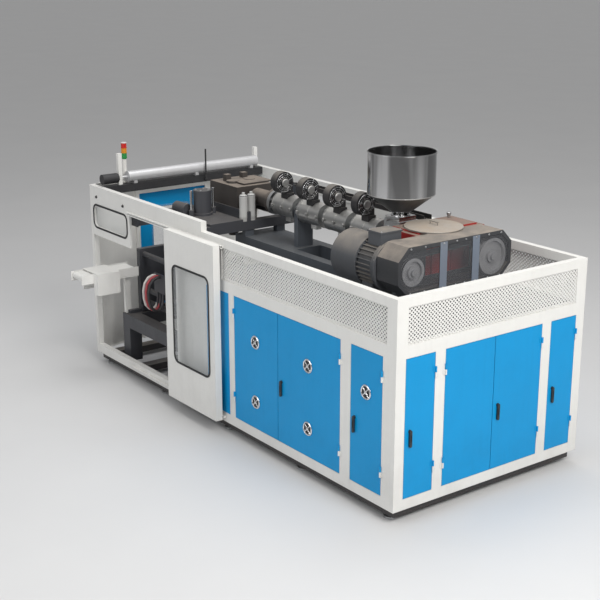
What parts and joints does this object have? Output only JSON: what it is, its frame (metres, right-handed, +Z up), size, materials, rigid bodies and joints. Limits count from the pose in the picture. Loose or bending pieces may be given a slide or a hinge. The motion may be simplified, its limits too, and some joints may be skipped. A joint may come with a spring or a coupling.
{
  "type": "blow moulding machine",
  "caption": "Extrusion blow moulding machine: white cabinet with blue doors, extruder, hopper and belt drive on top, sliding guard doors over a mould clamp.",
  "frame": {"origin": "on the floor under the middle of the outline", "axes": "+X along the machine towards the drive end, +Y across it, +Z up; the conveyor stands out to -Y"},
  "size_m": [5.06, 2.616, 2.685],
  "materials": {
    "white_paint": "satin",
    "blue_paint": "satin",
    "black_paint": "satin",
    "grey_paint": "satin",
    "deck_paint": "matt",
    "red_paint": "satin",
    "stainless": "brushed",
    "turned_steel": "turned",
    "mould_metal": "milled",
    "cast_iron": "machined",
    "black_rubber": "matt",
    "black_plastic": "matt",
    "red_plastic": "gloss",
    "clear_pane": "clear",
    "grey_plastic": "matt"
  },
  "bodies": {
    "machine_frame": {"base_frame": "black_paint", "levelling_feet": "turned_steel", "cabinet_frame": "white_paint", "clamp_frame": "white_paint", "extruder_deck": "deck_paint", "extruder_stand": "deck_paint", "perforated_panels": "white_paint", "fixed_side_panels": "blue_paint", "operator_wall": "white_paint", "fixed_windows": "clear_pane", "control_panel": "grey_plastic", "signal_tower": "grey_plastic", "top_beam": "turned_steel", "barrel": "turned_steel", "heater_covers": "stainless", "blowers": "black_paint", "cable_tray": "black_paint", "gearbox": "red_paint", "drive_motor": "grey_paint", "belt_guard": "grey_paint", "guard_window": "clear_pane", "drive_belts": "black_rubber", "hopper": "stainless", "hopper_lid": "stainless", "die_head": "cast_iron", "clamp_bed": "grey_paint", "blow_station": "grey_paint", "conveyor": "white_paint", "hydraulic_unit": "grey_paint"},
    "end_leaf_left": {"end_door_left": "blue_paint"},
    "end_leaf_right": {"end_door_right": "blue_paint"},
    "end_narrow_leaf_left": {"end_narrow_door_left": "blue_paint"},
    "end_narrow_leaf_right": {"end_narrow_door_right": "blue_paint"},
    "side_leaf_near": {"side_door_near": "blue_paint"},
    "side_leaf_far": {"side_door_far": "blue_paint"},
    "side_narrow_leaf": {"side_narrow_door": "blue_paint"},
    "end_lever": {"end_door_handle": "black_plastic"},
    "end_narrow_lever_left": {"end_narrow_handle_left": "black_plastic"},
    "end_narrow_lever_right": {"end_narrow_handle_right": "black_plastic"},
    "side_lever": {"side_door_handle": "black_plastic"},
    "side_narrow_lever": {"side_narrow_handle": "black_plastic"},
    "left_slider": {"left_sliding_door": "white_paint", "left_sliding_window": "clear_pane"},
    "right_slider": {"right_sliding_door": "white_paint", "right_sliding_window": "clear_pane"},
    "operator_leaf": {"operator_door": "blue_paint", "operator_window": "clear_pane"},
    "operator_lever": {"operator_handle": "black_plastic"},
    "stop_key": {"stop_button": "red_plastic"},
    "gearbox_wheel": {"gearbox_pulley": "cast_iron"},
    "motor_wheel": {"motor_pulley": "cast_iron"},
    "feed_screw": {"screw": "turned_steel"},
    "gate_blade": {"slide_gate": "stainless"},
    "carriage": {"mould_carriage": "grey_paint"},
    "front_clamp_half": {"front_platen": "cast_iron", "front_mould": "mould_metal", "mould_hoses": "black_rubber"},
    "rear_clamp_half": {"rear_platen": "cast_iron", "rear_mould": "mould_metal"},
    "pin_head": {"blow_pins": "turned_steel"}
  },
  "joints": [
    {"name": "end_door_left_hinge", "type": "hinge", "parent": "machine_frame", "child": "end_leaf_left", "pos_m": [2.5185, -0.4, 0.8], "axis": [0, 0, -1], "range_deg": [0, 90]},
    {"name": "end_door_right_hinge", "type": "hinge", "parent": "machine_frame", "child": "end_leaf_right", "pos_m": [2.5185, 0.684, 0.8], "axis": [0, 0, 1], "range_deg": [0, 90]},
    {"name": "end_narrow_left_hinge", "type": "hinge", "parent": "machine_frame", "child": "end_narrow_leaf_left", "pos_m": [2.5185, -0.505, 0.8], "axis": [0, 0, 1], "range_deg": [0, 90]},
    {"name": "end_narrow_right_hinge", "type": "hinge", "parent": "machine_frame", "child": "end_narrow_leaf_right", "pos_m": [2.5185, 1.094, 0.8], "axis": [0, 0, 1], "range_deg": [0, 90]},
    {"name": "side_near_hinge", "type": "hinge", "parent": "machine_frame", "child": "side_leaf_near", "pos_m": [1.837, -0.9165, 0.8], "axis": [0, 0, 1], "range_deg": [0, 90]},
    {"name": "side_far_hinge", "type": "hinge", "parent": "machine_frame", "child": "side_leaf_far", "pos_m": [0.308, -0.9165, 0.8], "axis": [0, 0, -1], "range_deg": [0, 90]},
    {"name": "side_narrow_hinge", "type": "hinge", "parent": "machine_frame", "child": "side_narrow_leaf", "pos_m": [2.357, -0.9165, 0.8], "axis": [0, 0, 1], "range_deg": [0, 90]},
    {"name": "end_handle_turn", "type": "hinge", "parent": "end_leaf_right", "child": "end_lever", "pos_m": [2.51, 0.197, 0.766], "axis": [1, 0, 0], "range_deg": [0, 90]},
    {"name": "end_narrow_left_handle_turn", "type": "hinge", "parent": "end_narrow_leaf_left", "child": "end_narrow_lever_left", "pos_m": [2.51, -0.755, 0.766], "axis": [1, 0, 0], "range_deg": [0, 90]},
    {"name": "end_narrow_right_handle_turn", "type": "hinge", "parent": "end_narrow_leaf_right", "child": "end_narrow_lever_right", "pos_m": [2.51, 0.844, 0.766], "axis": [1, 0, 0], "range_deg": [0, 90]},
    {"name": "side_handle_turn", "type": "hinge", "parent": "side_leaf_near", "child": "side_lever", "pos_m": [1.032, -0.908, 0.766], "axis": [0, -1, 0], "range_deg": [0, 90]},
    {"name": "side_narrow_handle_turn", "type": "hinge", "parent": "side_narrow_leaf", "child": "side_narrow_lever", "pos_m": [2.023, -0.908, 0.766], "axis": [0, -1, 0], "range_deg": [0, 90]},
    {"name": "left_door_slide", "type": "slide", "parent": "machine_frame", "child": "left_slider", "axis": [-1, 0, 0], "range_m": [0, 0.868]},
    {"name": "right_door_slide", "type": "slide", "parent": "machine_frame", "child": "right_slider", "axis": [-1, 0, 0], "range_m": [0, 0.868]},
    {"name": "operator_door_hinge", "type": "hinge", "parent": "machine_frame", "child": "operator_leaf", "pos_m": [-2.5185, 0.562, 1], "axis": [0, 0, -1], "range_deg": [0, 90]},
    {"name": "operator_handle_turn", "type": "hinge", "parent": "operator_leaf", "child": "operator_lever", "pos_m": [-2.51, -0.223, 1.015], "axis": [-1, 0, 0], "range_deg": [0, 90]},
    {"name": "stop_button_press", "type": "slide", "parent": "machine_frame", "child": "stop_key", "axis": [0.9662, 0.2577, 0], "range_m": [0, 0.006], "stiffness_N_per_m": 400},
    {"name": "gearbox_pulley_spin", "type": "hinge", "parent": "machine_frame", "child": "gearbox_wheel", "pos_m": [2, 0.514, 1.876], "axis": [1, 0, 0], "continuous": true},
    {"name": "motor_pulley_spin", "type": "hinge", "parent": "machine_frame", "child": "motor_wheel", "pos_m": [2, -0.363, 1.876], "axis": [1, 0, 0], "continuous": true},
    {"name": "screw_spin", "type": "hinge", "parent": "machine_frame", "child": "feed_screw", "pos_m": [0.4, 0.188, 1.93], "axis": [1, 0, 0], "continuous": true},
    {"name": "hopper_gate_slide", "type": "slide", "parent": "machine_frame", "child": "gate_blade", "axis": [0, -1, 0], "range_m": [0, 0.125]},
    {"name": "carriage_slide", "type": "slide", "parent": "machine_frame", "child": "carriage", "axis": [0, 1, 0], "range_m": [0, 0.466]},
    {"name": "front_platen_slide", "type": "slide", "parent": "carriage", "child": "front_clamp_half", "axis": [-1, 0, 0], "range_m": [0, 0.2]},
    {"name": "rear_platen_slide", "type": "slide", "parent": "carriage", "child": "rear_clamp_half", "axis": [1, 0, 0], "range_m": [0, 0.2]},
    {"name": "blow_pin_slide", "type": "slide", "parent": "machine_frame", "child": "pin_head", "axis": [0, 0, -1], "range_m": [0, 0.17]}
  ],
  "couplings": [
    {"joint": "motor_pulley_spin", "follows": "gearbox_pulley_spin", "ratio": 1.3559},
    {"joint": "screw_spin", "follows": "gearbox_pulley_spin", "ratio": 0.0667},
    {"joint": "rear_platen_slide", "follows": "front_platen_slide", "ratio": 1}
  ]
}
